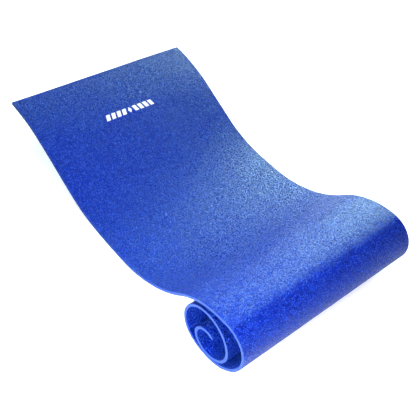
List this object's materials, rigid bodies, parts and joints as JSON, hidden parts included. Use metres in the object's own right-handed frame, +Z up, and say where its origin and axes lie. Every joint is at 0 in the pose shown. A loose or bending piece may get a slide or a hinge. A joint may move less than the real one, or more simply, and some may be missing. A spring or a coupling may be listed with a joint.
{
  "type": "roll-up exercise mat",
  "caption": "Roll-up foam exercise mat, part unrolled: a pebbled blue sheet whose free end rises from the floor, with the rest wound in a loose spiral roll.",
  "frame": {"origin": "on the floor, under the middle of the half-unrolled mat's bounding box", "axes": "+X along the mat from its free end towards the roll, Y across its width, +Z up"},
  "size_m": [1.0023, 0.6, 0.1793],
  "materials": {
    "foam": "matt pebbled closed-cell foam skin",
    "print": "matt white ink"
  },
  "bodies": {
    "free_end_section_1": {"free_end_section_1": "foam"},
    "free_end_section_2": {"free_end_section_2": "foam", "printed_mark": "print"},
    "slope_section": {"slope_section": "foam"},
    "sweep_section_1": {"sweep_section_1": "foam"},
    "sweep_section_2": {"sweep_section_2": "foam"},
    "floor_section": {"floor_section": "foam"},
    "rise_section_1": {"rise_section_1": "foam"},
    "rise_section_2": {"rise_section_2": "foam"},
    "rise_section_3": {"rise_section_3": "foam"},
    "rise_section_4": {"rise_section_4": "foam"},
    "crest_section_1": {"crest_section_1": "foam"},
    "crest_section_2": {"crest_section_2": "foam"},
    "roll_front_section_1": {"roll_front_section_1": "foam"},
    "roll_front_section_2": {"roll_front_section_2": "foam"},
    "roll_front_section_3": {"roll_front_section_3": "foam"},
    "roll_front_section_4": {"roll_front_section_4": "foam"},
    "roll_underside_section_1": {"roll_underside_section_1": "foam"},
    "roll_underside_section_2": {"roll_underside_section_2": "foam"},
    "roll_underside_section_3": {"roll_underside_section_3": "foam"},
    "roll_underside_section_4": {"roll_underside_section_4": "foam"},
    "roll_back_section_1": {"roll_back_section_1": "foam"},
    "roll_back_section_2": {"roll_back_section_2": "foam"},
    "roll_back_section_3": {"roll_back_section_3": "foam"},
    "roll_back_section_4": {"roll_back_section_4": "foam"},
    "roll_back_section_5": {"roll_back_section_5": "foam"},
    "second_turn_top_section_1": {"second_turn_top_section_1": "foam"},
    "second_turn_top_section_2": {"second_turn_top_section_2": "foam"},
    "second_turn_top_section_3": {"second_turn_top_section_3": "foam"},
    "second_turn_front_section_1": {"second_turn_front_section_1": "foam"},
    "second_turn_front_section_2": {"second_turn_front_section_2": "foam"},
    "second_turn_front_section_3": {"second_turn_front_section_3": "foam"},
    "second_turn_front_section_4": {"second_turn_front_section_4": "foam"},
    "second_turn_front_section_5": {"second_turn_front_section_5": "foam"},
    "core_section_1": {"core_section_1": "foam"},
    "core_section_2": {"core_section_2": "foam"},
    "core_section_3": {"core_section_3": "foam"},
    "core_section_4": {"core_section_4": "foam"},
    "core_section_5": {"core_section_5": "foam"},
    "core_section_6": {"core_section_6": "foam"}
  },
  "joints": [
    {"name": "bend_free_end_1", "type": "hinge", "parent": "free_end_section_2", "child": "free_end_section_1", "pos_m": [-0.41352, 0, 0.11936], "axis": [0, 1, 0], "range_deg": [0, 10]},
    {"name": "bend_free_end_2", "type": "hinge", "parent": "slope_section", "child": "free_end_section_2", "pos_m": [-0.32975, 0, 0.09214], "axis": [0, 1, 0], "range_deg": [0, 5]},
    {"name": "bend_slope", "type": "hinge", "parent": "sweep_section_1", "child": "slope_section", "pos_m": [-0.21321, 0, 0.03398], "axis": [0, -1, 0], "range_deg": [0, 5.75]},
    {"name": "free_end_flattening", "type": "hinge", "parent": "sweep_section_2", "child": "sweep_section_1", "pos_m": [-0.1314, 0, 0.00858], "axis": [0, -1, 0], "range_deg": [0, 11.5]},
    {"name": "bend_sweep_2", "type": "hinge", "parent": "floor_section", "child": "sweep_section_2", "pos_m": [-0.04617, 0, 0], "axis": [0, -1, 0], "range_deg": [0, 5.75]},
    {"name": "bend_rise_1", "type": "hinge", "parent": "floor_section", "child": "rise_section_1", "pos_m": [0.02383, 0, 0], "axis": [0, 1, 0], "range_deg": [0, 5.76]},
    {"name": "bend_rise_2", "type": "hinge", "parent": "rise_section_1", "child": "rise_section_2", "pos_m": [0.09416, 0, 0.00709], "axis": [0, 1, 0], "range_deg": [0, 11.52]},
    {"name": "bend_rise_3", "type": "hinge", "parent": "rise_section_2", "child": "rise_section_3", "pos_m": [0.16165, 0, 0.02808], "axis": [0, 1, 0], "range_deg": [0, 11.52]},
    {"name": "roll_opening", "type": "hinge", "parent": "rise_section_3", "child": "rise_section_4", "pos_m": [0.2236, 0, 0.06212], "axis": [0, 1, 0], "range_deg": [0, 10.66]},
    {"name": "bend_crest_1", "type": "hinge", "parent": "rise_section_4", "child": "crest_section_1", "pos_m": [0.31687, 0, 0.14913], "axis": [0, -1, 0], "range_deg": [0, 16.41]},
    {"name": "bend_crest_2", "type": "hinge", "parent": "crest_section_1", "child": "crest_section_2", "pos_m": [0.36985, 0, 0.17165], "axis": [0, -1, 0], "range_deg": [0, 15.36]},
    {"name": "bend_roll_front_1", "type": "hinge", "parent": "crest_section_2", "child": "roll_front_section_1", "pos_m": [0.4269, 0, 0.17934], "axis": [0, -1, 0], "range_deg": [0, 20.93]},
    {"name": "bend_roll_front_2", "type": "hinge", "parent": "roll_front_section_1", "child": "roll_front_section_2", "pos_m": [0.46004, 0, 0.17154], "axis": [0, -1, 0], "range_deg": [0, 26.5]},
    {"name": "bend_roll_front_3", "type": "hinge", "parent": "roll_front_section_2", "child": "roll_front_section_3", "pos_m": [0.48621, 0, 0.14977], "axis": [0, -1, 0], "range_deg": [0, 26.5]},
    {"name": "bend_roll_front_4", "type": "hinge", "parent": "roll_front_section_3", "child": "roll_front_section_4", "pos_m": [0.49993, 0, 0.11861], "axis": [0, -1, 0], "range_deg": [0, 26.5]},
    {"name": "bend_roll_underside_1", "type": "hinge", "parent": "roll_front_section_4", "child": "roll_underside_section_1", "pos_m": [0.49829, 0, 0.0846], "axis": [0, -1, 0], "range_deg": [0, 25]},
    {"name": "bend_roll_underside_2", "type": "hinge", "parent": "roll_underside_section_1", "child": "roll_underside_section_2", "pos_m": [0.47615, 0, 0.04252], "axis": [0, -1, 0], "range_deg": [0, 23.5]},
    {"name": "bend_roll_underside_3", "type": "hinge", "parent": "roll_underside_section_2", "child": "roll_underside_section_3", "pos_m": [0.43906, 0, 0.01275], "axis": [0, -1, 0], "range_deg": [0, 23.5]},
    {"name": "bend_roll_underside_4", "type": "hinge", "parent": "roll_underside_section_3", "child": "roll_underside_section_4", "pos_m": [0.39318, 0, 0.00024], "axis": [0, -1, 0], "range_deg": [0, 23.5]},
    {"name": "bend_roll_back_1", "type": "hinge", "parent": "roll_underside_section_4", "child": "roll_back_section_1", "pos_m": [0.34612, 0, 0.00707], "axis": [0, -1, 0], "range_deg": [0, 26.05]},
    {"name": "bend_roll_back_2", "type": "hinge", "parent": "roll_back_section_1", "child": "roll_back_section_2", "pos_m": [0.31669, 0, 0.02714], "axis": [0, -1, 0], "range_deg": [0, 28.6]},
    {"name": "bend_roll_back_3", "type": "hinge", "parent": "roll_back_section_2", "child": "roll_back_section_3", "pos_m": [0.30046, 0, 0.05885], "axis": [0, -1, 0], "range_deg": [0, 28.6]},
    {"name": "bend_roll_back_4", "type": "hinge", "parent": "roll_back_section_3", "child": "roll_back_section_4", "pos_m": [0.30139, 0, 0.09447], "axis": [0, -1, 0], "range_deg": [0, 28.6]},
    {"name": "bend_roll_back_5", "type": "hinge", "parent": "roll_back_section_4", "child": "roll_back_section_5", "pos_m": [0.31926, 0, 0.12529], "axis": [0, -1, 0], "range_deg": [0, 28.6]},
    {"name": "bend_second_turn_top_1", "type": "hinge", "parent": "roll_back_section_5", "child": "second_turn_top_section_1", "pos_m": [0.3497, 0, 0.1438], "axis": [0, -1, 0], "range_deg": [0, 28.97]},
    {"name": "bend_second_turn_top_2", "type": "hinge", "parent": "second_turn_top_section_1", "child": "second_turn_top_section_2", "pos_m": [0.39191, 0, 0.14552], "axis": [0, -1, 0], "range_deg": [0, 29.34]},
    {"name": "bend_second_turn_top_3", "type": "hinge", "parent": "second_turn_top_section_2", "child": "second_turn_top_section_3", "pos_m": [0.42956, 0, 0.12633], "axis": [0, -1, 0], "range_deg": [0, 29.34]},
    {"name": "bend_second_turn_front_1", "type": "hinge", "parent": "second_turn_top_section_3", "child": "second_turn_front_section_1", "pos_m": [0.45298, 0, 0.09117], "axis": [0, -1, 0], "range_deg": [0, 28.82]},
    {"name": "bend_second_turn_front_2", "type": "hinge", "parent": "second_turn_front_section_1", "child": "second_turn_front_section_2", "pos_m": [0.45552, 0, 0.06121], "axis": [0, -1, 0], "range_deg": [0, 28.3]},
    {"name": "bend_second_turn_front_3", "type": "hinge", "parent": "second_turn_front_section_2", "child": "second_turn_front_section_3", "pos_m": [0.44355, 0, 0.03363], "axis": [0, -1, 0], "range_deg": [0, 28.3]},
    {"name": "bend_second_turn_front_4", "type": "hinge", "parent": "second_turn_front_section_3", "child": "second_turn_front_section_4", "pos_m": [0.41994, 0, 0.01501], "axis": [0, -1, 0], "range_deg": [0, 28.3]},
    {"name": "bend_second_turn_front_5", "type": "hinge", "parent": "second_turn_front_section_4", "child": "second_turn_front_section_5", "pos_m": [0.39033, 0, 0.00982], "axis": [0, -1, 0], "range_deg": [0, 28.3]},
    {"name": "bend_core_1", "type": "hinge", "parent": "second_turn_front_section_5", "child": "core_section_1", "pos_m": [0.36179, 0, 0.01928], "axis": [0, -1, 0], "range_deg": [0, 29.19]},
    {"name": "bend_core_2", "type": "hinge", "parent": "core_section_1", "child": "core_section_2", "pos_m": [0.3486, 0, 0.0337], "axis": [0, -1, 0], "range_deg": [0, 30.09]},
    {"name": "bend_core_3", "type": "hinge", "parent": "core_section_2", "child": "core_section_3", "pos_m": [0.34441, 0, 0.05278], "axis": [0, -1, 0], "range_deg": [0, 30.09]},
    {"name": "bend_core_4", "type": "hinge", "parent": "core_section_3", "child": "core_section_4", "pos_m": [0.35035, 0, 0.0714], "axis": [0, -1, 0], "range_deg": [0, 30.09]},
    {"name": "bend_core_5", "type": "hinge", "parent": "core_section_4", "child": "core_section_5", "pos_m": [0.36483, 0, 0.08453], "axis": [0, -1, 0], "range_deg": [0, 30.09]},
    {"name": "bend_core_6", "type": "hinge", "parent": "core_section_5", "child": "core_section_6", "pos_m": [0.38393, 0, 0.08863], "axis": [0, -1, 0], "range_deg": [0, 30.09]}
  ],
  "couplings": [
    {"joint": "bend_free_end_1", "follows": "free_end_flattening", "ratio": 0.86957},
    {"joint": "bend_free_end_2", "follows": "free_end_flattening", "ratio": 0.43478},
    {"joint": "bend_slope", "follows": "free_end_flattening", "ratio": 0.5},
    {"joint": "bend_sweep_2", "follows": "free_end_flattening", "ratio": 0.5},
    {"joint": "bend_rise_1", "follows": "roll_opening", "ratio": 0.54031},
    {"joint": "bend_rise_2", "follows": "roll_opening", "ratio": 1.0806},
    {"joint": "bend_rise_3", "follows": "roll_opening", "ratio": 1.0806},
    {"joint": "bend_crest_1", "follows": "roll_opening", "ratio": 1.5403},
    {"joint": "bend_crest_2", "follows": "roll_opening", "ratio": 1.4408},
    {"joint": "bend_roll_front_1", "follows": "roll_opening", "ratio": 1.9638},
    {"joint": "bend_roll_front_2", "follows": "roll_opening", "ratio": 2.4869},
    {"joint": "bend_roll_front_3", "follows": "roll_opening", "ratio": 2.4869},
    {"joint": "bend_roll_front_4", "follows": "roll_opening", "ratio": 2.4869},
    {"joint": "bend_roll_underside_1", "follows": "roll_opening", "ratio": 2.3461},
    {"joint": "bend_roll_underside_2", "follows": "roll_opening", "ratio": 2.2053},
    {"joint": "bend_roll_underside_3", "follows": "roll_opening", "ratio": 2.2053},
    {"joint": "bend_roll_underside_4", "follows": "roll_opening", "ratio": 2.2053},
    {"joint": "bend_roll_back_1", "follows": "roll_opening", "ratio": 2.4446},
    {"joint": "bend_roll_back_2", "follows": "roll_opening", "ratio": 2.6839},
    {"joint": "bend_roll_back_3", "follows": "roll_opening", "ratio": 2.6839},
    {"joint": "bend_roll_back_4", "follows": "roll_opening", "ratio": 2.6839},
    {"joint": "bend_roll_back_5", "follows": "roll_opening", "ratio": 2.6839},
    {"joint": "bend_second_turn_top_1", "follows": "roll_opening", "ratio": 2.7184},
    {"joint": "bend_second_turn_top_2", "follows": "roll_opening", "ratio": 2.7527},
    {"joint": "bend_second_turn_top_3", "follows": "roll_opening", "ratio": 2.7527},
    {"joint": "bend_second_turn_front_1", "follows": "roll_opening", "ratio": 2.7043},
    {"joint": "bend_second_turn_front_2", "follows": "roll_opening", "ratio": 2.6558},
    {"joint": "bend_second_turn_front_3", "follows": "roll_opening", "ratio": 2.6558},
    {"joint": "bend_second_turn_front_4", "follows": "roll_opening", "ratio": 2.6558},
    {"joint": "bend_second_turn_front_5", "follows": "roll_opening", "ratio": 2.6558},
    {"joint": "bend_core_1", "follows": "roll_opening", "ratio": 2.7395},
    {"joint": "bend_core_2", "follows": "roll_opening", "ratio": 2.8231},
    {"joint": "bend_core_3", "follows": "roll_opening", "ratio": 2.8231},
    {"joint": "bend_core_4", "follows": "roll_opening", "ratio": 2.8231},
    {"joint": "bend_core_5", "follows": "roll_opening", "ratio": 2.8231},
    {"joint": "bend_core_6", "follows": "roll_opening", "ratio": 2.8231}
  ]
}
